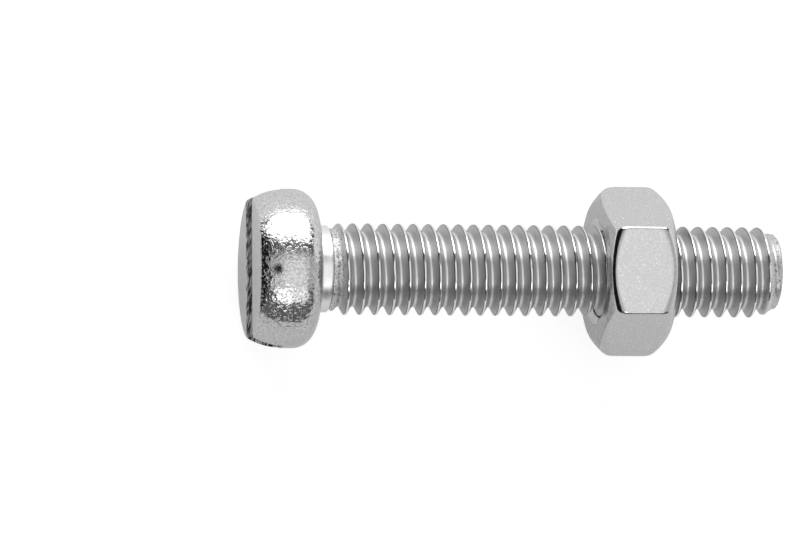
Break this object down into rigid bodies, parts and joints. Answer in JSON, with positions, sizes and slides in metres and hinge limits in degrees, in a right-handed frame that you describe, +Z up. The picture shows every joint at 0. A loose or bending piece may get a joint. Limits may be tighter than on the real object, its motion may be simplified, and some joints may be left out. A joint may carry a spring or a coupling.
{
  "type": "slotted cheese-head machine screw with hex nut",
  "caption": "Plated steel machine screw with a slotted cheese head, rolled thread and chamfered end, and a chamfered hex nut run onto the thread.",
  "frame": {"origin": "on the screw's axis, in the plane of the bearing face under the head", "axes": "+X along the screw's axis from the head to the end, +Z up with the screw lying on its side, +Y level; the slot runs 3 degrees off +Y, as the screw lies"},
  "size_m": [0.0279, 0.009, 0.0082],
  "materials": {
    "screw_steel": "bright zinc-plated steel, as forged and rolled",
    "nut_steel": "zinc-plated steel, fine satin grain"
  },
  "bodies": {
    "screw": {"slotted_screw": "screw_steel"},
    "nut": {"hex_nut": "nut_steel"}
  },
  "joints": [
    {"name": "nut_travel", "type": "slide", "parent": "screw", "child": "nut", "axis": [1, 0, 0], "range_m": [-0.0136, 0.0056]}
  ]
}
